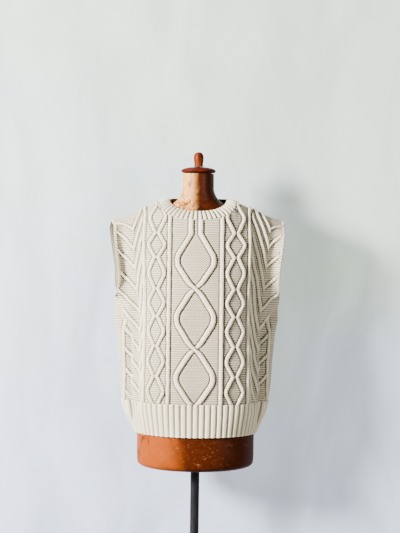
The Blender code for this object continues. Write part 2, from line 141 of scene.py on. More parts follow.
cameraSettings = {
    "place": (0.007, -3.6, 1.32),
    "downDegrees": 1.95,
    "rollDegrees": 0.7,
    "lens": 88.4,
}

stageSettings = {
    "wallBehind": 0.2,
    "wallWidth": 9.0,
    "wallHeight": 6.0,
    "wallGreen": (0.71, 0.82, 0.71),
    "wallBlue": (0.67, 0.745, 0.95),
    "wallDepth": 0.36,
    "wallPaintedLight": 0.81,
    "floorDark": (0.10, 0.10, 0.10),
    "floorLight": (0.16, 0.155, 0.15),
}

lightSettings = {
    "key": {
        "place": (-2.55, -1.95, 1.95), "aim": (0.0, 0.0, 1.08),
        "size": 0.8, "watts": 1120, "colour": (1.0, 0.985, 0.96),
    },
    "fill": {
        "place": (2.2, -2.6, 1.5), "aim": (0.0, 0.0, 1.1),
        "size": 1.2, "watts": 105, "colour": (1.0, 0.99, 0.97),
    },
    "worldStrength": 0.06,
}


def makeCamera():
    bpy.ops.object.camera_add()
    camera = bpy.context.object
    camera.name = "camera"
    camera.data.lens = cameraSettings["lens"]
    camera.data.clip_end = 60
    tilt = Matrix.Rotation(math.radians(90 - cameraSettings["downDegrees"]), 4, "X")
    roll = Matrix.Rotation(math.radians(cameraSettings["rollDegrees"]), 4, "Z")
    camera.matrix_world = Matrix.Translation(cameraSettings["place"]) @ tilt @ roll
    bpy.context.scene.camera = camera


def deselectAll():
    if bpy.context.mode != "OBJECT":
        bpy.ops.object.mode_set(mode="OBJECT")
    bpy.ops.object.select_all(action="DESELECT")


def makeFloorPaint():
    material, tree, surface = newMaterial("grey floor", {"Roughness": 0.85})
    grain = noise(tree, objectPlace(tree), 3.0, 5.0)[0]
    grain = mapped(tree, grain, 0.3, 0.7)
    colour = blended(tree, grain, stageSettings["floorDark"], stageSettings["floorLight"])
    setSocket(tree, surface.inputs["Base Color"], colour)
    return material


def makeWallPaint():
    # uneven old paint, which also glows with painted light; seen from in front only, so that the wall never
    # hides the form from behind
    material, tree, surface = newMaterial("pale wall", {"Roughness": 0.95})
    geometry = tree.nodes.new("ShaderNodeNewGeometry")
    at = geometry.outputs["Position"]
    patches = noise(tree, stretched(tree, at, (1.0, 1.0, 1.6)), 1.1, 4.0, 0.5, 0.8)[0]
    strokes = noise(tree, stretched(tree, at, (1.0, 1.0, 0.35)), 5.0, 6.0, 0.55, 1.0)[0]
    # bluer low down on one side, greener high up on the other
    sideways, depth, upwards = split(tree, at)
    drift = compute(tree, "ADD", compute(tree, "MULTIPLY", sideways, 0.5), upwards)
    drift = compute(tree, "MULTIPLY_ADD", patches, 2.4, drift)
    green = mapped(tree, drift, 1.4, 3.0)
    colour = blended(tree, green, stageSettings["wallBlue"], stageSettings["wallGreen"])
    worn = mapped(tree, strokes, 0.3, 0.7, 0.84, 1.06)
    colour = blended(tree, 1.0, colour, worn, "MULTIPLY")
    lit = blended(tree, stageSettings["wallDepth"], (0, 0, 0), colour)
    setSocket(tree, surface.inputs["Base Color"], lit)
    # painted light: the wall glows by itself as if the room lit it from the other side, most at the height of
    # the vest and more towards +x
    away = compute(tree, "ABSOLUTE", compute(tree, "SUBTRACT", upwards, 1.0))
    across = mapped(tree, sideways, 0.05, 0.6, -0.10, 0.14)
    paintedRoomLight = compute(tree, "ADD", across, mapped(tree, away, 0.2, 0.8, 1.0, 0.84))
    setSocket(tree, surface.inputs["Emission Color"], blended(tree, 1.0, colour, paintedRoomLight, "MULTIPLY"))
    surface.inputs["Emission Strength"].default_value = stageSettings["wallPaintedLight"]
    addBump(tree, surface, strokes, 0.004, 0.4)
    clear = tree.nodes.new("ShaderNodeBsdfTransparent")
    mix = tree.nodes.new("ShaderNodeMixShader")
    setSocket(tree, mix.inputs[0], geometry.outputs["Backfacing"])
    tree.links.new(surface.outputs[0], mix.inputs[1])
    tree.links.new(clear.outputs[0], mix.inputs[2])
    tree.links.new(mix.outputs[0], tree.nodes["Material Output"].inputs[0])
    return material


def makeStage():
    deselectAll()
    bpy.ops.mesh.primitive_plane_add(size=14)
    floor = bpy.context.object
    floor.name = "floor"
    floor.data.materials.append(makeFloorPaint())
    high = stageSettings["wallHeight"]
    turn = (math.radians(90), 0, 0)
    place = (0, stageSettings["wallBehind"], high / 2)
    bpy.ops.mesh.primitive_plane_add(size=1, location=place, rotation=turn)
    wall = bpy.context.object
    wall.name = "wall"
    wall.scale = (stageSettings["wallWidth"], high, 1)
    wall.data.materials.append(makeWallPaint())


def makeLights():
    for name in ("key", "fill"):
        setting = lightSettings[name]
        bpy.ops.object.light_add(type="AREA", location=setting["place"])
        light = bpy.context.object
        light.name = name + " light"
        light.data.shape = "DISK"
        light.data.size = setting["size"]
        light.data.energy = setting["watts"]
        light.data.color = setting["colour"]
        way = Vector(setting["aim"]) - light.location
        light.rotation_euler = way.to_track_quat("-Z", "Y").to_euler()
    world = bpy.data.worlds.new("studio")
    world.use_nodes = True
    world.node_tree.nodes["Background"].inputs["Color"].default_value = (0.93, 0.95, 0.97, 1)
    world.node_tree.nodes["Background"].inputs["Strength"].default_value = lightSettings["worldStrength"]
    bpy.context.scene.world = world


makeCamera()
makeStage()
makeLights()
print("stage ready")

# the cloth's surface, as the frame's solids have it; tables in millimetres above the datum

cloth = {
    "datum": 650.0,
    "wales": (0.0, 70.0, 147.0, 192.0, 228.0, 270.0),
    "hemHeight": 91.0,
    "hemHalfWidth": 167.0,
    "hemDepth": {-1: 119.0, 1: 121.0},
    "hemEase": 0.2,
    "neckPoint": 112.0,
    "neckHeight": {-1: 676.0, 1: 714.0},
    "neckRoundness": 2.6,
    "collarHalfWidth": 78.0,
    "collarDepth": {-1: 66.0, 1: 58.0},
    "collarHeight": {-1: 700.0, 1: 736.0},
    "collarSideHeight": 733.0,
    "collarRoundness": 2.2,
    "collarPuff": 2.5,
    "armBand": 12.0,
    "armBandTurn": 34.0,
    "underarmRow": 5,
    "rightArmhole": {-1: 9.0, 1: -7.0},
    "rightSideEase": 4.0,
    "gap": 0.5,
}

# height, x of each wale after the centre one, depth of each wale in front and behind
bodyRows = (
    (182, (71, 141, 165, 181, 200), (131, 127, 97, 66, 50, 0), (126, 122, 94, 64, 50, 0)),
    (225, (71, 141, 165, 184, 207), (138, 134, 104, 71, 52, 0), (131, 127, 99, 69, 52, 0)),
    (300, (71, 139, 163, 184, 212), (136, 132, 103, 68, 50, 0), (124, 120, 96, 66, 50, 0)),
    (390, (70, 135, 161, 186, 220), (134, 130, 101, 66, 50, 0), (119, 115, 93, 64, 50, 0)),
    (456, (69, 134, 162, 190, 226), (133, 128, 100, 66, 54, 0), (118, 113, 92, 64, 52, 0)),
    (472, (69, 134, 164, 192, 225), (132, 127, 99, 66, 50, 39), (118, 113, 92, 64, 53, 34)),
    (520, (69, 136, 171, 196, 222), (126, 120, 94, 60, 45, 57), (116, 110, 90, 62, 54, 52)),
    (590, (69, 140, 181, 205, 230), (109, 103, 80, 51, 38, 50), (112, 105, 84, 57, 50, 46)),
    (640, (69, 143, 187, 210, 236), (93, 87, 62, 38, 28, 33), (101, 95, 70, 45, 39, 30)),
)
yokeRows = {
    -1: ((68, 140, 190, 212, 237), (68, 62, 36, 22, 18, 15), (698, 701, 692, 676, 669, 660)),
    1: ((68, 140, 190, 212, 237), (66, 60, 40, 28, 24, 21), (722, 714, 692, 676, 669, 660)),
}
shoulderRow = ((68, 142, 186, 212, 238.5), (5, 0, -4, -4, -4, -4), (745, 738, 712, 691.5, 682, 673))

# panel (-1 front, 1 back), side, s below and above, t of low end, bend and top end, half width, depth
folds = (
    (-1, -1, 224, 262, -70, 175, 262, 10, 11),
    (-1, -1, 248, 272, -80, 175, 258, 15, -5),
    (-1, 1, 220, 256, -80, 165, 262, 11, 12),
    (-1, 1, 245, 270, -80, 165, 258, 15, -5),
    (1, -1, 226, 260, -60, 170, 258, 12, 9),
    (1, 1, 223, 260, -70, 165, 258, 11, 10),
    (-1, -1, 176, 182, -30, 60, 120, 13, 4),
    (-1, 1, 172, 178, -30, 70, 150, 14, 5),
    (1, -1, 120, 126, -30, 60, 130, 16, 4),
    (1, 1, 136, 130, -30, 60, 150, 16, 5),
    (-1, 1, 168, 150, 330, 430, 545, 14, 4),
    (-1, -1, 172, 158, 350, 430, 545, 13, 3),
)


def monotoneSlopes(knots, values):
    step = np.diff(knots)[:, None]
    rise = np.diff(values, axis=0) / step
    slopes = np.zeros_like(values)
    before, after = rise[:-1], rise[1:]
    weightBefore = 2 * step[1:] + step[:-1]
    weightAfter = step[1:] + 2 * step[:-1]
    sameWay = before * after > 0
    safeBefore = np.where(sameWay, before, 1.0)
    safeAfter = np.where(sameWay, after, 1.0)
    mean = (weightBefore + weightAfter) / (weightBefore / safeBefore + weightAfter / safeAfter)
    slopes[1:-1] = np.where(sameWay, mean, 0.0)
    slopes[0] = rise[0]
    slopes[-1] = rise[-1]
    return slopes


def cubicBlend(part, low, high, slopeLow, slopeHigh):
    square, cube = part**2, part**3
    return (
        (2 * cube - 3 * square + 1) * low
        + (cube - 2 * square + part) * slopeLow
        + (3 * square - 2 * cube) * high
        + (cube - square) * slopeHigh
    )


def hermite(knots, values, slopes, at):
    span = np.clip(np.searchsorted(knots, at, side="right") - 1, 0, len(knots) - 2)
    length = (knots[span + 1] - knots[span])[:, None]
    part = (at - knots[span])[:, None] / length
    low, high = values[span], values[span + 1]
    slopeLow, slopeHigh = slopes[span] * length, slopes[span + 1] * length
    return cubicBlend(part, low, high, slopeLow, slopeHigh)


def smoothStep(x):
    x = np.clip(x, 0.0, 1.0)
    return x * x * (3 - 2 * x)


def hemPoint(share, depth):
    angles = np.linspace(0, math.pi / 2, 400)
    across, along = cloth["hemHalfWidth"] * np.sin(angles), depth * np.cos(angles)
    length = np.concatenate([[0], np.cumsum(np.hypot(np.diff(across), np.diff(along)))])
    eased = share * (1 + cloth["hemEase"] * (1 - share**2))
    angle = np.interp(eased * length[-1], length, angles)
    return cloth["hemHalfWidth"] * math.sin(angle), depth * math.cos(angle)


def netRows():
    shares = [s / cloth["wales"][-1] for s in cloth["wales"]]
    rows = {-1: [], 1: []}
    for side in (-1, 1):
        hem = [hemPoint(share, cloth["hemDepth"][side]) for share in shares]
        rows[side].append([(x, side * y, cloth["hemHeight"]) for x, y in hem])
        for row in bodyRows:
            depth = row[2] if side < 0 else row[3]
            rows[side].append([(x, side * y, row[0]) for x, y in zip((0, *row[1]), depth)])
        yoke = yokeRows[side]
        rows[side].append([(x, side * y, z) for x, y, z in zip((0, *yoke[0]), yoke[1], yoke[2])])
    top = [(x, -y, z) for x, y, z in zip((0, *shoulderRow[0]), shoulderRow[1], shoulderRow[2])]
    return np.array(rows[-1] + [top] + rows[1][::-1], float)


net = netRows()
frontRows = len(bodyRows) + 2
runs = np.linalg.norm(np.diff(net[: frontRows + 1, 2], axis=0), axis=1)
frontT = np.concatenate([[0], np.cumsum(runs)]) - runs[0]  # 0 at the top of the hem rib
seamT = frontT[-1]
rowT = np.concatenate([frontT, 2 * seamT - frontT[-2::-1]])
hemT = frontT[0]
underarmT = frontT[cloth["underarmRow"]]
netSlopes = [monotoneSlopes(rowT, net[:, wale]) for wale in range(len(cloth["wales"]))]
edgeS = cloth["wales"][-1]


def walePoints(t):
    return np.stack([hermite(rowT, net[:, w], netSlopes[w], t) for w in range(len(cloth["wales"]))])


def baseSurface(s, t):
    knots = np.array(cloth["wales"])
    here, beyond = walePoints(t), walePoints(2 * seamT - t)
    step = np.diff(knots)[:, None, None]
    rise = np.diff(here, axis=0) / step
    slopes = np.zeros_like(here)
    slopes[1:-1] = (rise[:-1] * step[1:] + rise[1:] * step[:-1]) / (step[1:] + step[:-1])
    slopes[0] = rise[0] * np.array([1.0, 0.0, 0.0])
    fromSeam = seamT - np.abs(seamT - t)
    closed = (1 - smoothStep((fromSeam - underarmT) / 40.0))[:, None]
    roundSeam = (beyond[-2] - here[-2]) / (2 * step[-1])
    slopes[-1] = closed * roundSeam + (1 - closed) * rise[-1]
    size = np.abs(s)
    span = np.clip(np.searchsorted(knots, size, side="right") - 1, 0, len(knots) - 2)
    index = np.arange(len(size))
    length = (knots[span + 1] - knots[span])[:, None]
    part = (size - knots[span])[:, None] / length
    low, high = here[span, index], here[span + 1, index]
    slopeLow, slopeHigh = slopes[span, index] * length, slopes[span + 1, index] * length
    point = cubicBlend(part, low, high, slopeLow, slopeHigh)
    point[:, 0] *= np.where(s < 0, -1.0, 1.0)
    return point


def normalsOf(surface, s, t):
    reach = 0.5
    across = surface(s + reach, t) - surface(s - reach, t)
    along = surface(s, t + reach) - surface(s, t - reach)
    normal = np.cross(across, along)
    return normal / np.linalg.norm(normal, axis=1)[:, None]


def foldDepth(s, t):
    depth = np.zeros_like(s)
    front = t < seamT
    fromSeam = seamT - np.abs(seamT - t)
    for panel, side, sLow, sHigh, low, bend, high, halfWidth, deep in folds:
        runsAt = sLow + (sHigh - sLow) * smoothStep((fromSeam - bend) / (high - bend))
        fade = smoothStep((fromSeam - low) / 45.0) * smoothStep((high - fromSeam) / 45.0)
        here = (front == (panel < 0)) & (np.sign(s) == side)
        depth += here * fade * deep * np.exp(-(((np.abs(s) - runsAt) / halfWidth) ** 2))
    return depth


def clothSurface(s, t):
    inside = np.clip(np.abs(s), 0, edgeS - 1.0) * np.sign(s)
    point = baseSurface(s, t) - normalsOf(baseSurface, inside, t) * foldDepth(s, t)[:, None]
    fromSeam = seamT - np.abs(seamT - t)
    armhole = smoothStep((fromSeam - underarmT) / 60.0) * smoothStep((seamT - fromSeam) / 70.0)
    pull = np.where(t < seamT, cloth["rightArmhole"][-1], cloth["rightArmhole"][1])
    belowArmhole = smoothStep((underarmT + 20 - fromSeam) / 60.0)
    ease = cloth["rightSideEase"] * smoothStep((fromSeam - hemT) / 60.0) * belowArmhole
    rightSide = smoothStep((np.abs(s) - 190.0) / 80.0) * (s < 0)
    point[:, 0] += (pull * armhole - ease) * rightSide
    return point


def clothNormals(s, t):
    inside = np.clip(np.abs(s), 0, edgeS - 0.6) * np.sign(s)
    normal = normalsOf(clothSurface, inside, t)
    seam = (np.abs(s) > edgeS - 2.0) & (seamT - np.abs(seamT - t) <= underarmT + 1.0)
    shared = normal + normalsOf(clothSurface, inside, 2 * seamT - t)
    shared /= np.linalg.norm(shared, axis=1)[:, None]
    return np.where(seam[:, None], shared, normal)


def onGrid(surface, s, t):
    return surface(s.ravel(), t.ravel()).reshape(*s.shape, 3)


def gridNormals(points, s, t):
    # from the grid itself, but shared with the other panel along the side seams
    normals = np.cross(np.gradient(points, axis=1), np.gradient(points, axis=0))
    normals /= np.linalg.norm(normals, axis=2)[..., None]
    for edge in (0, -1):
        normals[:, edge] = clothNormals(s[:, edge], t[:, edge])
    return normals


def armBandJoin(fromSeam):
    foot = underarmT - cloth["armBand"]
    return edgeS - cloth["armBand"] * smoothStep((fromSeam - foot) / cloth["armBandTurn"])


def neckCut(s, panel):
    corner = baseSurface(np.array([cloth["neckPoint"]]), np.array([seamT]))[0, 2]
    share = np.clip(np.abs(s) / cloth["neckPoint"], 0, 1)
    rise = 1 - np.sqrt(1 - share ** cloth["neckRoundness"])
    cutHeight = cloth["neckHeight"][panel] + (corner - cloth["neckHeight"][panel]) * rise
    low = np.full_like(s, frontT[-4])
    high = np.full_like(s, seamT)
    for halving in range(40):
        middle = (low + high) / 2
        below = baseSurface(s, middle if panel < 0 else 2 * seamT - middle)[:, 2] < cutHeight
        low = np.where(below, middle, low)
        high = np.where(below, high, middle)
    return np.where(share >= 1, seamT, (low + high) / 2)


# meshes from grids

plainZone = [0.0, 0.0, 0.5]  # no cord, no moss, lying level


def newGrid(name, columns, rows):
    deselectAll()
    bpy.ops.mesh.primitive_grid_add(x_subdivisions=columns - 1, y_subdivisions=rows - 1, size=2)
    piece = bpy.context.object
    piece.name = name
    return piece


def shapeGrid(piece, points, knit=None, zone=None):
    # points are (row, column, xyz) in millimetres above the datum
    placed = points.reshape(-1, 3).copy()
    placed[:, 2] += cloth["datum"]
    piece.data.vertices.foreach_set("co", (placed * mm).astype(np.float32).ravel())
    for name, values in (("knit", knit), ("zone", zone)):
        if values is None:
            values = np.zeros_like(points)
        layer = piece.data.attributes.new(name, "FLOAT_VECTOR", "POINT")
        layer.data.foreach_set("vector", values.astype(np.float32).ravel())
    piece.data.update()


def cleanClosed(piece, merge=0.00002):
    # merges the seam, turns every face outwards and shades smooth
    deselectAll()
    piece.select_set(True)
    bpy.context.view_layer.objects.active = piece
    bpy.ops.object.mode_set(mode="EDIT")
    bpy.ops.mesh.select_all(action="SELECT")
    bpy.ops.mesh.remove_doubles(threshold=merge)
    bpy.ops.mesh.normals_make_consistent(inside=False)
    bpy.ops.object.mode_set(mode="OBJECT")
    bpy.ops.object.shade_smooth()


def bridgeSkins(outer, inner):
    # joins two open sheets into one closed wall along their edges
    deselectAll()
    inner.select_set(True)
    outer.select_set(True)
    bpy.context.view_layer.objects.active = outer
    bpy.ops.object.join()
    bpy.ops.object.mode_set(mode="EDIT")
    bpy.ops.mesh.select_mode(type="EDGE")
    bpy.ops.mesh.select_all(action="DESELECT")
    bpy.ops.mesh.select_non_manifold(
        extend=False, use_wire=False, use_multi_face=False, use_non_contiguous=False, use_verts=False
    )
    bpy.ops.mesh.bridge_edge_loops()
    bpy.ops.object.mode_set(mode="OBJECT")
    cleanClosed(outer)


def addInnerSkin(outer, points, normals, knit, setting):
    # the wrong side, a coarser sheet one wall behind the right side
    down, across = (range(0, count, every) for count, every in zip(points.shape, setting["innerEvery"]))
    pick = np.ix_(down, across)
    inner = newGrid(outer.name + "_inner", len(across), len(down))
    zone = knit[pick] * 0 + plainZone
    shapeGrid(inner, points[pick] - normals[pick] * setting["innerDepth"], knit[pick], zone)
    bpy.ops.object.mode_set(mode="EDIT")
    bpy.ops.mesh.select_all(action="SELECT")
    bpy.ops.mesh.flip_normals()
    bpy.ops.object.mode_set(mode="OBJECT")
    bridgeSkins(outer, inner)


# the knit chart: u is the distance from the centre line, t from the hem rib, in millimetres

chart = {
    "stitchWidth": 4.0,
    "courseHeight": 3.05,
    "sink": 2.0,
    "bigCrossings": (-6, 150, 312, 462),
    "bigHalfWidth": 50.0,
    "bigGap": 6.5,
    "bigTop": 13.0,
    "bigCord": 6.6,
    "bigHeight": 6.0,
    "smallCentre": 108.0,
    "smallCrossings": (-85, -7, 76, 156, 236, 310, 395, 464, 545),
    "smallHalfWidth": 23.0,
    "smallGap": 5.0,
    "smallCord": 4.9,
    "smallHeight": 5.0,
    "straight": ((71.0, 5.2, 5.2, 600.0), (147.0, 4.6, 5.0, 600.0), (240.0, 5.0, 3.6, 250.0)),
    "centreShift": 4.5,
    "spine": {-1: (174.0, 187.0), 1: (196.0, 209.0)},
    "rightLift": 8.0,
    "chevronVertices": (-90, -36, 24, 80, 136, 191, 244, 303, 362, 417, 474),
    "innerRise": 2.9,
    "outerRise": 1.0,
    "chevronCord": 4.4,
    "chevronHeight": 4.2,
    "chevronStart": 152.0,
    "lineHeight": 0.42,
    "mossHeight": 1.1,
    "hollow": 2.3,
}


def cordProfile(distance, half, high):
    x = np.clip(np.abs(distance) / half, 0, 1)
    body = high * (1 - x**2.4) ** 0.62
    return body - 0.16 * high * np.exp(-((distance / (0.2 * half)) ** 2))


def cordGroove(distance, half, deep):
    return -deep * np.exp(-(((np.abs(distance) - half - 1.2) / 1.7) ** 2))


def widthAlong(t, crossings, halfWidth, gap, topGap=None):
    # half the width of a row of diamonds: straight sides that turn short of the widest place
    knots = np.array(crossings, float)
    gaps = np.full(len(knots), gap)
    gaps[-1] = topGap or gap
    span = np.clip(np.searchsorted(knots, t, side="right") - 1, 0, len(knots) - 2)
    part = np.clip((t - knots[span]) / (knots[span + 1] - knots[span]), 0, 1)
    least = np.interp(t, knots, gaps)
    slope = 2.3 * np.minimum(part, 1 - part)
    wave = np.where(slope < 0.8, slope, 0.8 + 0.2 * np.tanh((slope - 0.8) / 0.2))
    return least + (halfWidth - least) * wave


def slopeFactor(place, t):
    slope = np.gradient(place, axis=0) / np.maximum(np.abs(np.gradient(t, axis=0)), 0.2)
    return np.sqrt(1 + slope**2)


def chartRelief(u, t):
    # t counts up from the hem rib on both panels; returns height, cord mask and moss mask
    shift = smoothStep((u + 190.0) / 40.0) * smoothStep((150.0 - u) / 90.0)
    u = u + chart["centreShift"] * shift
    size = np.abs(u)
    cords = np.zeros_like(u)
    grooves = np.zeros_like(u)
    mask = np.zeros_like(u)

    # each cord swells and thins a little from stitch to stitch
    swell = 0.34 * np.sin(2 * math.pi * t / 6.1 + 1.3 * np.sin(t / 31.0)) * np.sin(t / 17.0 + size / 9.0)
    swell = swell + 0.22 * np.sin(t / 5.3 + size / 4.1)

    def addCord(distance, half, high, strength=1.0, groove=1.5):
        nonlocal cords, grooves, mask
        half = half + swell
        high = high + 0.8 * swell
        body = cordProfile(distance, half, high) * strength * (np.abs(distance) < half)
        cords = np.maximum(cords, body)
        grooves = np.minimum(grooves, cordGroove(distance, half, groove) * strength)
        mask = np.maximum(mask, strength * smoothStep((half + 0.8 - np.abs(distance)) / 1.6))

    # the big diamonds: two cords that cross, the one from upper -x on top
    crossings = chart["bigCrossings"]
    wide = widthAlong(t, crossings, chart["bigHalfWidth"], chart["bigGap"], chart["bigTop"])
    sign = np.ones_like(t)
    for crossing in crossings[:-1]:
        sign = sign * np.tanh((t - crossing) / 7.0)
    factor = slopeFactor(wide, t)
    half = chart["bigCord"] + swell
    apart, onTop = {}, {}
    for strand in (-1, 1):
        apart[strand] = (u - strand * sign * wide) / factor
        onTop[strand] = np.zeros_like(t)
        for index, crossing in enumerate(crossings[:-1]):
            # on top goes the strand that lies at -x just above the crossing
            order = (-1) ** (index + len(crossings))
            if strand * order < 0:
                onTop[strand] += np.exp(-(((t - crossing) / 11.0) ** 2))
    for strand in (-1, 1):
        body = cordProfile(apart[strand], half, 1.0) * (np.abs(apart[strand]) < half)
        high = chart["bigHeight"] + 2.0 * onTop[strand] - 2.6 * onTop[-strand]
        cut = cordGroove(apart[-strand], half, 4.5) * onTop[-strand]
        cords = np.maximum(cords, np.maximum(body * high + cut, 0))
        grooves = np.minimum(grooves, cordGroove(apart[strand], half, 2.0))
        mask = np.maximum(mask, smoothStep((half + 0.8 - np.abs(apart[strand])) / 1.6))

    # the small diamonds
    narrow = widthAlong(t, chart["smallCrossings"], chart["smallHalfWidth"], chart["smallGap"])
    factor = slopeFactor(narrow, t)
    for strand in (-1, 1):
        place = chart["smallCentre"] + strand * narrow
        addCord((size - place) / factor, chart["smallCord"], chart["smallHeight"])

    # straight pairs of columns
    for place, half, high, end in chart["straight"]:
        strength = smoothStep((end - t) / 30.0)
        addCord(size - place, half, high, strength)

    # chevrons that point down, on both sides of their spine
    upTo = smoothStep((t - 200.0) / 150.0)
    lowSpine = np.where(u < 0, chart["spine"][-1][0], chart["spine"][1][0])
    highSpine = np.where(u < 0, chart["spine"][-1][1], chart["spine"][1][1])
    spine = lowSpine + (highSpine - lowSpine) * upTo
    for low in chart["chevronVertices"]:
        vertex = low + np.where(u > 0, chart["rightLift"], 0.0)
        inner = vertex + chart["innerRise"] * (spine - size)
        outer = vertex + chart["outerRise"] * (size - spine)
        fade = smoothStep((size - chart["chevronStart"]) / 5.0)
        fade = fade * smoothStep((t + 12) / 60.0)
        steep = math.sqrt(1 + chart["innerRise"] ** 2)
        gentle = math.sqrt(1 + chart["outerRise"] ** 2)
        onInner = smoothStep((spine + 2.5 - size) / 3.0) * fade
        onOuter = smoothStep((size - spine + 2.5) / 3.0) * fade
        onOuter = onOuter * np.where(t < underarmT, smoothStep((238 - size) / 6.0), 1.0)
        addCord((t - inner) / steep, chart["chevronCord"], chart["chevronHeight"], onInner, 1.2)
        addCord((t - outer) / gentle, chart["chevronCord"], chart["chevronHeight"], onOuter, 1.2)

    moss = smoothStep((wide - chart["bigCord"] - 1.5 - size) / 2.5) * (t < crossings[-1] + 10)
    lines = chart["lineHeight"] * np.cos(2 * math.pi * t / (2 * chart["courseHeight"]))
    dots = chart["mossHeight"] * np.cos(2 * math.pi * u / (2 * chart["stitchWidth"]))
    dots = dots * np.cos(2 * math.pi * t / (2 * chart["courseHeight"]))
    ground = lines * (1 - moss) + dots * moss
    height = np.where(mask > 0, cords, 0) + grooves * (1 - mask) + ground * (1 - mask)
    return height, mask, moss


def blurred(values, times=5):
    # spreads each value over its neighbours, along both ways of the grid
    for step in range(times):
        for axis in (0, 1):
            wide = np.concatenate([values.take([0], axis), values, values.take([-1], axis)], axis)
            count = values.shape[axis]
            before, after = wide.take(range(count), axis), wide.take(range(2, count + 2), axis)
            values = (before + 2 * values + after) / 4
    return values


def zoneOf(height, mask, moss):
    # the last value is how open a place lies: 0 deep in a groove, 0.5 level, 1 on top of a cord; the wool
    # paints the less open places darker as painted shade
    openness = np.clip(0.5 + (height - blurred(height)) / chart["hollow"], 0, 1)
    return np.stack([mask, moss, openness], axis=-1)


# the panels

panelSettings = {
    "columns": 286,
    "rows": 256,
    "innerEvery": (3, 3),
    "innerDepth": 4.2,
    "halfWidth": 290.0,
    "keepColumns": 200.0,
    "squeezeRowsFrom": 430.0,
}


def measureAcross(panel, t):
    # distance over the cloth from the centre line, at a ladder of s, for each row's t
    ladder = np.linspace(0, edgeS, 136)
    lengths = {}
    for side in (-1, 1):
        s = (side * ladder)[None, :] * np.ones((len(t), 1))
        points = onGrid(clothSurface, s, t[:, None] * np.ones_like(s))
        steps = np.linalg.norm(np.diff(points, axis=1), axis=2)
        lengths[side] = np.concatenate([np.zeros((len(t), 1)), np.cumsum(steps, axis=1)], axis=1)
    return ladder, lengths


def panelGrid(panel):
    setting = panelSettings
    rows, columns = setting["rows"], setting["columns"]
    half = setting["halfWidth"]
    u = np.linspace(-half, half, columns)
    fromHem = np.linspace(cloth["gap"] / 2, seamT, rows)
    signT = fromHem if panel < 0 else 2 * seamT - fromHem
    ladder, lengths = measureAcross(panel, signT)
    edge = armBandJoin(fromHem) - cloth["gap"] / 2
    keep = setting["keepColumns"]
    s = np.zeros((rows, columns))
    trueU = np.zeros((rows, columns))
    for row in range(rows):
        for side in (-1, 1):
            reach = np.interp(edge[row], ladder, lengths[side][row])
            pick = u * side > 0
            size = np.abs(u[pick])
            squeezed = np.where(size > keep, keep + (size - keep) * (reach - keep) / (half - keep), size)
            s[row, pick] = side * np.interp(squeezed, lengths[side][row], ladder)
            trueU[row, pick] = side * squeezed
    # the neckline: rows above a level are drawn down to it, column by column
    start = setting["squeezeRowsFrom"]
    t = fromHem[:, None] * np.ones((1, columns))
    top = neckCut(s[-1], panel) - cloth["gap"] / 2
    drawn = start + (fromHem[:, None] - start) * (top - start)[None, :] / (seamT - start)
    t = np.where(t > start, drawn, t)
    return s, t, trueU


def makePanel(name, panel):
    setting = panelSettings
    s, t, u = panelGrid(panel)
    signT = t if panel < 0 else 2 * seamT - t
    if panel > 0:
        s, t, u, signT = s[::-1], t[::-1], u[::-1], signT[::-1]
    points = onGrid(clothSurface, s, signT)
    normals = gridNormals(points, s, signT)
    height, mask, moss = chartRelief(u, t)
    rim = smoothStep((t - 0.0) / 3.0)
    outer = newGrid(name, setting["columns"], setting["rows"])
    knit = np.stack([u / chart["stitchWidth"], t / chart["courseHeight"], height], axis=-1)
    zone = zoneOf(height, mask, moss)
    shapeGrid(outer, points + normals * (height * rim - chart["sink"])[..., None], knit, zone)
    addInnerSkin(outer, points, normals, knit, setting)
    return outer


vestFront = makePanel("knit_front", -1)
vestBack = makePanel("knit_back", 1)
print("panels ready", len(vestFront.data.polygons), len(vestBack.data.polygons))

# hem ribs, neckband and armhole bands

ribSettings = {
    "repeatsPerHalf": 17,
    "columnsPerRepeat": 8,
    "rows": 43,
    "ribWidth": 14.0,
    "ribHalf": 5.4,
    "ribHeight": 3.6,
    "groove": 1.2,
    "innerEvery": (3, 4),
    "innerDepth": 3.4,
    "sink": 1.8,
    "edgeRoll": 3.0,
    "walesPerRib": 3.5,
}

neckbandSettings = {
    "ribs": 46,
    "columnsPerRib": 8,
    "outerRows": 13,
    "innerRows": 5,
    "wall": 4.0,
    "ribWidth": 12.5,
    "ribHalf": 4.3,
    "ribHeight": 2.9,
    "groove": 1.0,
    "sink": 1.6,
    "length": 26.0,
    "walesPerRib": 3.1,
}

armBandSettings = {
    "ribs": 66,
    "columnsPerRib": 8,
    "outerRows": 8,
    "innerRows": 4,
    "wall": 4.0,
    "ribWidth": 7.2,
    "ribHalf": 2.6,
    "ribHeight": 1.5,
    "groove": 0.6,
    "sink": 1.0,
    "walesPerRib": 1.8,
}

edgeTurns = (35, 75, 115, 150)  # degrees round the free edge of a band


def ribRelief(place, setting):
    # place counts repeats; a rib is two columns of stitches with a fine line between them
    half = setting["ribHalf"]
    distance = (place - np.floor(place) - 0.5) * setting["ribWidth"]
    body = cordProfile(distance, half, setting["ribHeight"]) * (np.abs(distance) < half)
    mask = smoothStep((half + 0.6 - np.abs(distance)) / 1.2)
    return body + cordGroove(distance, half, setting["groove"]) * (1 - mask), mask


def ribZone(height, mask, setting):
    # how open a place lies; the wool paints the grooves between ribs darker as painted shade
    openness = np.clip(0.36 + 0.64 * height / setting["ribHeight"], 0, 1)
    return np.stack([mask, mask * 0, openness], axis=-1)


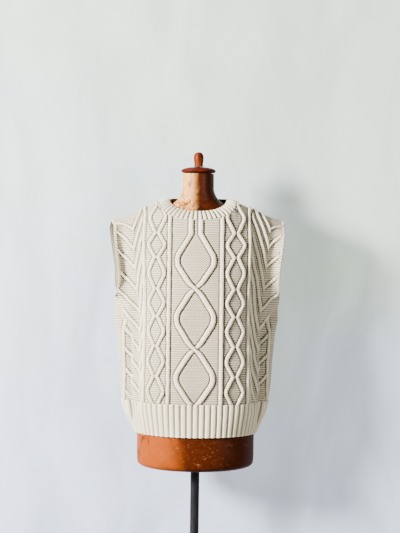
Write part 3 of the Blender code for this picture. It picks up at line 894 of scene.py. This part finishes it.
def makeHemRib(name, panel):
    setting = ribSettings
    columns = 2 * setting["repeatsPerHalf"] * setting["columnsPerRepeat"] + 1
    limit = edgeS - cloth["gap"] / 2
    s = np.linspace(-limit, limit, columns)[None, :] * np.ones((setting["rows"], 1))
    t = np.linspace(hemT, -cloth["gap"] / 2, setting["rows"])[:, None] * np.ones((1, columns))
    signT = t
    if panel > 0:
        s, t = s[::-1], t[::-1]
        signT = 2 * seamT - t
    points = onGrid(clothSurface, s, signT)
    normals = gridNormals(points, s, signT)
    place = s / edgeS * setting["repeatsPerHalf"] + 0.5
    height, mask = ribRelief(place, setting)
    fromEdge = t - hemT
    roll = np.sqrt(np.clip(fromEdge / setting["edgeRoll"], 0, 1))
    castOn = 0.9 * np.exp(-(((fromEdge - 2.6) / 1.6) ** 2))
    height = height * (0.35 + 0.65 * roll) + castOn
    knit = np.stack([place * setting["walesPerRib"], t / chart["courseHeight"], height], axis=-1)
    outer = newGrid(name, columns, setting["rows"])
    lift = height - setting["sink"] - 1.0 * (1 - roll)
    shapeGrid(outer, points + normals * lift[..., None], knit, ribZone(height, mask, setting))
    addInnerSkin(outer, points, normals, knit, setting)
    return outer


def ringBand(name, outer, inner, knit, zone):
    # a band closed round the opening and round its own edge; columns repeat after the last
    def closed(values):
        values = np.concatenate([values, values[:1]], axis=0)
        return np.concatenate([values, values[:, :1]], axis=1)

    points = np.concatenate([outer, inner[::-1]], axis=0)
    knits = np.concatenate([knit, knit[: len(inner)][::-1]], axis=0)
    zones = np.concatenate([zone, np.zeros_like(inner) + plainZone], axis=0)
    points, knits, zones = closed(points), closed(knits), closed(zones)
    piece = newGrid(name, points.shape[1], points.shape[0])
    shapeGrid(piece, points, knits, zones)
    cleanClosed(piece)
    return piece


def collarEdge(angle):
    across = np.sin(angle)
    front = np.cos(angle) > 0
    depth = np.where(front, cloth["collarDepth"][-1], cloth["collarDepth"][1])
    height = np.where(front, cloth["collarHeight"][-1], cloth["collarHeight"][1])
    dip = 1 - np.sqrt(np.clip(1 - np.abs(across) ** cloth["collarRoundness"], 0, 1))
    z = height + (cloth["collarSideHeight"] - height) * dip
    return np.stack([cloth["collarHalfWidth"] * across, -depth * np.cos(angle), z], axis=1)


def neckLine(angle):
    # the foot and the edge of the neckband at each angle from the front centre, and their normals
    s = cloth["neckPoint"] * np.sin(angle)
    front = np.cos(angle) > 1e-9
    t = np.where(front, neckCut(s, -1), 2 * seamT - neckCut(s, 1))
    join, joinNormal = clothSurface(s, t), clothNormals(s, t)
    edge = collarEdge(angle)
    across = edge - join
    across /= np.linalg.norm(across, axis=1)[:, None]
    join = join + across * cloth["gap"] / 2
    ahead = collarEdge(angle + 0.02) - collarEdge(angle - 0.02)
    edgeNormal = np.cross(ahead, across)
    edgeNormal /= np.linalg.norm(edgeNormal, axis=1)[:, None]
    return join, joinNormal, edge, edgeNormal, across


def makeNeckband(name):
    setting = neckbandSettings
    fine = np.linspace(0, 2 * math.pi, 1441)
    join, joinNormal, edge, edgeNormal, across = neckLine(fine)
    middle = (join + edge) / 2
    run = np.concatenate([[0], np.cumsum(np.linalg.norm(np.diff(middle, axis=0), axis=1))])
    columns = setting["ribs"] * setting["columnsPerRib"]
    angle = np.interp(np.arange(columns) / columns * run[-1], run, fine)
    join, joinNormal, edge, edgeNormal, across = neckLine(angle)
    place = np.arange(columns) / setting["columnsPerRib"]
    ribs, ribMask = ribRelief(place, setting)
    outer, inner, knit, zone = [], [], [], []

    def wallPoint(part):
        normal = joinNormal * (1 - part) + edgeNormal * part
        normal /= np.linalg.norm(normal, axis=1)[:, None]
        puff = cloth["collarPuff"] * math.sin(math.pi * part)
        return join * (1 - part) + edge * part + normal * puff, normal

    for part in np.linspace(0, 1, setting["outerRows"]):
        point, normal = wallPoint(part)
        fade = smoothStep(part / 0.08) * smoothStep((1.04 - part) / 0.16)
        height = ribs * fade
        outer.append(point + normal * (height - setting["sink"])[:, None])
        row = np.full(columns, part * setting["length"] / chart["courseHeight"])
        knit.append(np.stack([place * setting["walesPerRib"], row, height], axis=-1))
        zone.append(ribZone(height, ribMask * fade, setting))
    point, normal = wallPoint(1.0)
    for turn in edgeTurns:
        wide, out = math.sin(math.radians(turn)), math.cos(math.radians(turn))
        depth = (setting["wall"] - setting["sink"]) / 2
        outer.append(point + across * (depth * wide) + normal * (depth * out - setting["sink"] - depth))
        knit.append(knit[-1] + np.array([0, 0.3, 0]))
        # painted shade: the turned edge gets less openness, so the wool paints it darker
        zone.append(zone[-1] * 0.6)
    for part in np.linspace(0.02, 0.97, setting["innerRows"]):
        point, normal = wallPoint(part)
        inner.append(point - normal * setting["wall"])
    return ringBand(name, np.array(outer), np.array(inner), np.array(knit), np.array(zone))


def makeArmBand(name, side):
    setting = armBandSettings
    foot = underarmT - cloth["armBand"]
    columns = setting["ribs"] * setting["columnsPerRib"]
    # round the armhole: 0 at the underarm, 1 at the shoulder in front, 2 back at the underarm
    way = np.arange(columns) / columns * 2
    part = np.where(way <= 1, way, 2 - way)
    part = part**1.15
    back = way > 1
    tJoin = foot + part * (seamT - foot)
    tEdge = underarmT + part * (seamT - underarmT)
    sJoin = armBandJoin(tJoin) + cloth["gap"] / 2
    sJoin = np.where(part == 0, edgeS, sJoin)
    tJoin = np.where(part == 0, tJoin + cloth["gap"], tJoin)
    place = np.arange(columns) / setting["columnsPerRib"]
    ribs, ribMask = ribRelief(place, setting)
    outer, inner, knit, zone = [], [], [], []

    def wallPoint(share):
        s = sJoin * (1 - share) + edgeS * share
        t = tJoin * (1 - share) + tEdge * share
        t = np.where(back, 2 * seamT - t, t)
        return clothSurface(side * s, t), clothNormals(side * s, t)

    for share in np.linspace(0, 1, setting["outerRows"]):
        point, normal = wallPoint(share)
        fade = smoothStep(share / 0.12) * smoothStep((1.05 - share) / 0.2)
        height = ribs * fade
        outer.append(point + normal * (height - setting["sink"])[:, None])
        row = np.full(columns, share * cloth["armBand"] / chart["courseHeight"])
        knit.append(np.stack([place * setting["walesPerRib"], row, height], axis=-1))
        zone.append(ribZone(height, ribMask * fade, setting))
    point, normal = wallPoint(1.0)
    outward = point - wallPoint(0.7)[0]
    outward /= np.maximum(np.linalg.norm(outward, axis=1), 0.001)[:, None]
    depth = (setting["wall"] - setting["sink"]) / 2
    for turn in edgeTurns:
        wide, out = math.sin(math.radians(turn)), math.cos(math.radians(turn))
        outer.append(point + outward * (depth * wide) + normal * (depth * out - setting["sink"] - depth))
        knit.append(knit[-1] + np.array([0, 0.3, 0]))
        # painted shade: the turned edge gets less openness, so the wool paints it darker
        zone.append(zone[-1] * 0.6)
    for share in np.linspace(0.03, 0.95, setting["innerRows"]):
        point, normal = wallPoint(share)
        inner.append(point - normal * setting["wall"])
    return ringBand(name, np.array(outer), np.array(inner), np.array(knit), np.array(zone))


hemFront = makeHemRib("knit_hem_rib_front", -1)
hemBack = makeHemRib("knit_hem_rib_back", 1)
neckband = makeNeckband("knit_neckband")
armBandLeft = makeArmBand("knit_armhole_band_left", 1)
armBandRight = makeArmBand("knit_armhole_band_right", -1)
print("ribs and bands ready")

# the dress form and its stand

# height, half width, depth in front, depth behind
torsoRings = (
    (-4, 138, 97, 97),
    (0, 151, 106, 106),
    (10, 160, 112.5, 112.5),
    (40, 161.5, 114, 115),
    (95, 161.5, 113, 117),
    (150, 154, 106, 111),
    (210, 137, 95, 97),
    (265, 122, 88, 84),
    (320, 126, 94, 84),
    (380, 138, 108, 91),
    (430, 148, 117, 97),
    (480, 155, 114, 101),
    (530, 163, 106, 101),
    (580, 172, 93, 96),
    (620, 180, 80, 88),
    (650, 183, 70, 77),
    (672, 177, 61, 66),
    (688, 159, 52, 57),
    (699, 134, 47, 52),
    (708, 102, 44.5, 49),
    (716, 80, 43.8, 47),
    (725, 63, 43.3, 45.5),
    (736, 52.5, 43, 44.2),
    (748, 46, 43, 43.5),
    (762, 43, 42.7, 42.7),
    (802, 42.5, 42.5, 42.5),
)

standSettings = {
    "torsoSteps": 144,
    "turnedSteps": 96,
    "poleRadius": 12.5,
    "socketRadius": 13.0,
    "socketTop": 70.5,
    "poleFoot": 12.5,
    "footRadius": 180.0,
    "footEdge": 9.0,
    "hubRadius": 24.0,
    "hubTop": 46.0,
    "socketDepth": 34.0,
}


def softened(profile, times=2, cut=0.25):
    # cuts the corners of an outline, which keeps its first and last points
    for step in range(times):
        longer = [profile[0]]
        for a, b in zip(profile, profile[1:]):
            longer.append((a[0] * (1 - cut) + b[0] * cut, a[1] * (1 - cut) + b[1] * cut))
            longer.append((a[0] * cut + b[0] * (1 - cut), a[1] * cut + b[1] * (1 - cut)))
        longer.append(profile[-1])
        profile = longer
    return profile


def makeTurned(name, profile, lift, smoothAngle=35):
    # the profile runs from the axis at the top down the outer side to the axis below
    steps = standSettings["turnedSteps"]
    angle = np.linspace(0, 2 * math.pi, steps + 1)
    radius, height = np.array(profile, float).T
    x = radius[::-1, None] * np.sin(angle)[None, :]
    y = -radius[::-1, None] * np.cos(angle)[None, :]
    z = (height[::-1] + lift - cloth["datum"])[:, None] * np.ones_like(x)
    piece = newGrid(name, steps + 1, len(profile))
    shapeGrid(piece, np.stack([x, y, z], axis=-1))
    cleanClosed(piece)
    bpy.ops.object.shade_smooth_by_angle(angle=math.radians(smoothAngle))
    return piece


def makeTorso(name):
    rings = np.array(torsoRings, float)
    body = np.arange(len(rings))
    fineBody = np.linspace(0, len(rings) - 1, 5 * (len(rings) - 1) + 1)
    slopes = monotoneSlopes(body.astype(float), rings)
    fine = hermite(body.astype(float), rings, slopes, fineBody)
    radius, top, low = standSettings["socketRadius"], standSettings["socketTop"], torsoRings[0][0]
    socket = [(top, 0, 0, 0), (top, radius, radius, radius), (low, radius, radius, radius)]
    lip = [(low, radius + 1.5, radius + 1.5, radius + 1.5), (low, 70, 60, 60)]
    end = [(802, 30, 30, 30), (802, 0, 0, 0)]
    fine = np.concatenate([socket, lip, fine, end])
    angle = np.linspace(0, 2 * math.pi, standSettings["torsoSteps"] + 1)
    front = np.cos(angle) > 0
    depth = np.where(front[None, :], fine[:, 2][:, None], fine[:, 3][:, None])
    x = fine[:, 1][:, None] * np.sin(angle)[None, :]
    y = -depth * np.cos(angle)[None, :]
    z = fine[:, 0][:, None] * np.ones_like(x)
    piece = newGrid(name, len(angle), len(fine))
    shapeGrid(piece, np.stack([x, y, z], axis=-1))
    cleanClosed(piece)
    bpy.ops.object.shade_smooth_by_angle(angle=math.radians(50))
    return piece


capProfile = [
    (0, 821), (16, 820.5), (34, 818), (44, 814.5), (48, 810.5),
    (47, 807), (43.5, 803.5), (20, 803.5), (0, 803.5),
]
knobProfile = [
    (0, 861.5), (5.5, 860.8), (10, 858), (13, 853), (14, 846.5),
    (13.2, 838), (12, 830), (12, 824), (13.5, 823), (13.5, 821.6), (6, 821.6), (0, 821.6),
]
stand = standSettings
footProfile = [
    (0, stand["hubTop"] - stand["socketDepth"]),
    (stand["socketRadius"], stand["hubTop"] - stand["socketDepth"]),
    (stand["socketRadius"], stand["hubTop"]),
    (stand["hubRadius"] - 2, stand["hubTop"]),
    (stand["hubRadius"], stand["hubTop"] - 2),
    (stand["hubRadius"], 24),
    (stand["hubRadius"] + 2.5, 20.5),
    (stand["hubRadius"] + 8, 18),
    (stand["footRadius"] * 0.55, 14.5),
    (stand["footRadius"] - 8, stand["footEdge"] + 2.5),
    (stand["footRadius"] - 2.5, stand["footEdge"]),
    (stand["footRadius"], stand["footEdge"] - 3),
    (stand["footRadius"], 0),
    (0, 0),
]
poleTop = cloth["datum"] + 70.0
poleProfile = [
    (0, poleTop),
    (stand["poleRadius"] - 1, poleTop),
    (stand["poleRadius"], poleTop - 1),
    (stand["poleRadius"], stand["poleFoot"] + 1),
    (stand["poleRadius"] - 1, stand["poleFoot"]),
    (0, stand["poleFoot"]),
]

torso = makeTorso("form_torso")
neckCap = makeTurned("form_neck_cap", softened(capProfile), cloth["datum"])
neckKnob = makeTurned("form_neck_knob", softened(knobProfile), cloth["datum"])
standFoot = makeTurned("form_stand_foot", footProfile, 0)
standPole = makeTurned("form_stand_pole", poleProfile, 0)
print("dress form ready")

# materials of the vest and the form

# stitches from the count of wales and courses: V stitches on the cords, purl bumps and moss between them
def makeStitchGroup():
    tree, given, wanted = newGroup("knit stitches", ("Knit", "Zone"), ("Height", "Shade"))

    def times(first, second):
        return compute(tree, "MULTIPLY", first, second)

    def timesPlus(first, second, third):
        return compute(tree, "MULTIPLY_ADD", first, second, third)

    def folded(value):
        return compute(tree, "PINGPONG", value, 0.5)

    def bulged(value):
        return compute(tree, "POWER", times(value, 2.0), 0.6)

    def cosine(value, turns):
        return compute(tree, "COSINE", times(value, turns * math.pi))

    def either(share, first, second):
        return compute(tree, "ADD", times(first, share), times(second, compute(tree, "SUBTRACT", 1.0, share)))

    wales, courses, relief = split(tree, given["Knit"])
    onCord, onMoss, openness = split(tree, given["Zone"])
    legs = bulged(folded(times(wales, 2.0)))
    slanted = timesPlus(folded(wales), -1.3, courses)
    plain = times(legs, bulged(folded(slanted)))
    rows = timesPlus(cosine(wales, 2), 0.13, courses)
    ridges = cosine(courses, 1)
    purl = timesPlus(ridges, 0.22, timesPlus(cosine(rows, 2), 0.25, 0.3))
    moss = timesPlus(times(cosine(wales, 1), ridges), 0.6, 0.3)
    stitch = either(onCord, plain, either(onMoss, moss, purl))
    setSocket(tree, wanted["Height"], stitch)
    # painted shade: dark between the stitches, more so between the cords, and darkest in the creases beside a
    # cord
    paintedCreviceShade = mapped(tree, openness, 0.06, 0.5, 0.0, 0.9)
    paintedCreviceShade = timesPlus(mapped(tree, openness, 0.5, 0.9), 0.1, paintedCreviceShade)
    darkest = timesPlus(onCord, 0.40, 0.12)
    shade = timesPlus(mapped(tree, stitch, -0.05, 0.72), compute(tree, "SUBTRACT", 1.0, darkest), darkest)
    shade = times(shade, timesPlus(onCord, 0.13, 0.87))
    setSocket(tree, wanted["Shade"], times(paintedCreviceShade, shade))
    return tree


stitchGroup = makeStitchGroup()

woolSettings = {
    "light": (0.86, 0.745, 0.52),
    # dark is the colour of the painted shade in the grooves and between the stitches
    "dark": (0.035, 0.023, 0.012),
    "stitchDepth": 0.0016,
    "surface": {
        "Roughness": 0.92, "Specular IOR Level": 0.2,
        "Sheen Weight": 0.15, "Sheen Roughness": 0.6,
    },
}


def makeWool():
    material, tree, surface = newMaterial("cream wool", woolSettings["surface"])
    knit = tree.nodes.new("ShaderNodeAttribute")
    knit.attribute_name = "knit"
    zone = tree.nodes.new("ShaderNodeAttribute")
    zone.attribute_name = "zone"
    height, shade = useGroup(tree, stitchGroup, knit.outputs["Vector"], zone.outputs["Vector"])
    at = objectPlace(tree)
    fuzz = noise(tree, at, 900.0, 3.0)[0]
    patches = noise(tree, at, 9.0, 3.0)[0]
    # the group's Shade is painted shade in the grooves and between stitches; patches and fuzz vary the tone
    # at random
    shade = compute(tree, "MULTIPLY", shade, mapped(tree, patches, 0.3, 0.7, 0.93, 1.0))
    shade = compute(tree, "MULTIPLY", shade, mapped(tree, fuzz, 0.25, 0.75, 0.9, 1.0))
    colour = blended(tree, shade, woolSettings["dark"], woolSettings["light"])
    setSocket(tree, surface.inputs["Base Color"], colour)
    relief = compute(tree, "MULTIPLY_ADD", fuzz, 0.25, height)
    addBump(tree, surface, relief, woolSettings["stitchDepth"])
    return material


bustSettings = {
    "tan": (0.145, 0.027, 0.0015),
    "brown": (0.026, 0.004, 0.0004),
    "dark": (0.007, 0.002, 0.001),
    "peach": (0.27, 0.10, 0.028),
    "paper": (0.44, 0.19, 0.052),
    "crack": (0.006, 0.002, 0.001),
    "surface": {
        "Roughness": 0.5, "Specular IOR Level": 0.04,
        "Coat Weight": 0.01, "Coat Roughness": 0.3,
    },
}


def makeBust():
    setting = bustSettings
    material, tree, surface = newMaterial("aged varnish", setting["surface"])
    at = objectPlace(tree)
    side, depth, height = split(tree, at)
    clouds = noise(tree, at, 7.0, 5.0, 0.6, 0.6)[0]
    # painted light: the varnish is tan on the -x side, where the key light falls, and brown in painted shade
    # towards +x, broken up by random clouds
    paintedSideLightAndClouds = mapped(tree, side, -0.16, 0.10, 0.5, -0.5)
    paintedSideLightAndClouds = mapped(tree, compute(tree, "ADD", clouds, paintedSideLightAndClouds), 0.4, 1.0)
    colour = blended(tree, paintedSideLightAndClouds, setting["brown"], setting["tan"])
    stains = noise(tree, stretched(tree, at, (1.0, 1.0, 0.45)), 16.0, 6.0, 0.65, 0.8)[0]
    colour = blended(tree, mapped(tree, stains, 0.52, 0.70, 0.0, 0.75), colour, setting["dark"])
    # pale scuffs, long and level
    scuffs = noise(tree, stretched(tree, at, (1.0, 1.0, 2.5)), 60.0, 7.0, 0.7, 1.2)[0]
    colour = blended(tree, mapped(tree, scuffs, 0.58, 0.70, 0.0, 0.45), colour, setting["peach"])
    specks = noise(tree, at, 210.0, 3.0, 0.6)[0]
    colour = blended(tree, mapped(tree, specks, 0.64, 0.74, 0.0, 0.4), colour, setting["peach"])
    # the neck is paler, with painted light on its -x side and painted shade towards +x, and old flakes round
    # its foot
    onNeck = mapped(tree, height, 1.33, 1.35)
    neckPaintedLightAndClouds = compute(tree, "ADD", clouds, mapped(tree, side, -0.045, 0.042, 0.5, -0.7))
    paper = blended(tree, mapped(tree, neckPaintedLightAndClouds, 0.2, 0.95), setting["brown"], setting["paper"])
    flakes = noise(tree, at, 110.0, 5.0, 0.6, 1.0)[0]
    low = mapped(tree, height, 1.36, 1.42, 0.9, 0.25)
    streaks = noise(tree, stretched(tree, at, (1.0, 1.0, 0.3)), 70.0, 5.0, 0.6, 0.5)[0]
    paper = blended(tree, mapped(tree, streaks, 0.5, 0.68, 0.0, 0.7), paper, setting["brown"])
    flakes = compute(tree, "MULTIPLY", mapped(tree, flakes, 0.5, 0.56), low)
    paper = blended(tree, flakes, paper, setting["dark"])
    colour = blended(tree, onNeck, colour, paper)
    # fine cracks
    warp = noise(tree, at, 18.0, 3.0)[1]
    node = tree.nodes.new("ShaderNodeVectorMath")
    node.operation = "MULTIPLY_ADD"
    setSocket(tree, node.inputs[0], warp)
    node.inputs[1].default_value = (0.05, 0.05, 0.05)
    setSocket(tree, node.inputs[2], at)
    cells = tree.nodes.new("ShaderNodeTexVoronoi")
    cells.feature = "DISTANCE_TO_EDGE"
    cells.inputs["Scale"].default_value = 30.0
    setSocket(tree, cells.inputs["Vector"], node.outputs[0])
    cracks = mapped(tree, cells.outputs["Distance"], 0.008, 0.03, 1.0, 0.0)
    where = mapped(tree, noise(tree, at, 12.0, 2.0)[0], 0.45, 0.6)
    where = compute(tree, "MULTIPLY", where, compute(tree, "MULTIPLY_ADD", onNeck, 0.6, 0.15))
    cracks = compute(tree, "MULTIPLY", cracks, where)
    colour = blended(tree, cracks, colour, setting["crack"])
    setSocket(tree, surface.inputs["Base Color"], colour)
    setSocket(tree, surface.inputs["Roughness"], mapped(tree, scuffs, 0.35, 0.72, 0.32, 0.6))
    relief = compute(tree, "MULTIPLY_ADD", cracks, -0.8, compute(tree, "MULTIPLY", scuffs, 0.35))
    addBump(tree, surface, relief, 0.0006)
    return material


woodSettings = {
    "cap_wood": {
        "light": (0.055, 0.005, 0.001), "dark": (0.013, 0.002, 0.001),
        "grain": (14.0, 14.0, 120.0),
    },
    "knob_wood": {
        "light": (0.10, 0.016, 0.002), "dark": (0.03, 0.004, 0.001),
        "grain": (60.0, 60.0, 8.0),
    },
    "surface": {
        "Roughness": 0.48, "Specular IOR Level": 0.03,
        "Coat Weight": 0.01, "Coat Roughness": 0.2,
    },
}


def makeWood(name):
    setting = woodSettings[name]
    material, tree, surface = newMaterial(name.replace("_", " "), woodSettings["surface"])
    grain = noise(tree, stretched(tree, objectPlace(tree), setting["grain"]), 1.6, 5.0, 0.6, 0.8)[0]
    colour = blended(tree, mapped(tree, grain, 0.35, 0.62), setting["dark"], setting["light"])
    setSocket(tree, surface.inputs["Base Color"], colour)
    addBump(tree, surface, grain, 0.0003)
    return material


ironSettings = {
    "black": (0.005, 0.005, 0.006),
    "worn": (0.016, 0.014, 0.013),
    "surface": {"Metallic": 0.2, "Roughness": 0.4, "Specular IOR Level": 0.14},
}


def makeIron():
    material, tree, surface = newMaterial("blackened iron", ironSettings["surface"])
    at = objectPlace(tree)
    wear = noise(tree, stretched(tree, at, (1.0, 1.0, 0.3)), 40.0, 6.0, 0.65)[0]
    colour = blended(tree, mapped(tree, wear, 0.5, 0.75), ironSettings["black"], ironSettings["worn"])
    setSocket(tree, surface.inputs["Base Color"], colour)
    setSocket(tree, surface.inputs["Roughness"], mapped(tree, wear, 0.3, 0.7, 0.28, 0.5))
    addBump(tree, surface, wear, 0.0003)
    return material


wool = makeWool()
bust = makeBust()
capWood, knobWood = makeWood("cap_wood"), makeWood("knob_wood")
iron = makeIron()
flatWidth, flatLength = 2 * edgeS * mm, seamT * mm

# piece, frame node, slot, material, and for cloth its cut: width, length and area
pieces = (
    (vestFront, "vest_front", "wool", wool, (flatWidth, flatLength, 0.88)),
    (vestBack, "vest_back", "wool", wool, (flatWidth, flatLength, 0.92)),
    (hemFront, "hem_rib_front", "wool", wool, (flatWidth, -hemT * mm, 1.0)),
    (hemBack, "hem_rib_back", "wool", wool, (flatWidth, -hemT * mm, 1.0)),
    (neckband, "neckband", "wool", wool, (0.56, 0.030, 1.0)),
    (armBandLeft, "armhole_band_left", "wool", wool, (0.49, 0.014, 1.0)),
    (armBandRight, "armhole_band_right", "wool", wool, (0.49, 0.014, 1.0)),
    (torso, "torso", "bust", bust, None),
    (neckCap, "neck_cap", "cap_wood", capWood, None),
    (neckKnob, "neck_knob", "knob_wood", knobWood, None),
    (standPole, "stand_pole", "iron", iron, None),
    (standFoot, "stand_foot", "iron", iron, None),
)
for piece, node, slotName, material, cut in pieces:
    piece.data.materials.clear()
    piece.data.materials.append(material)
    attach(piece, "root")
    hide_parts(node)
print("materials ready")
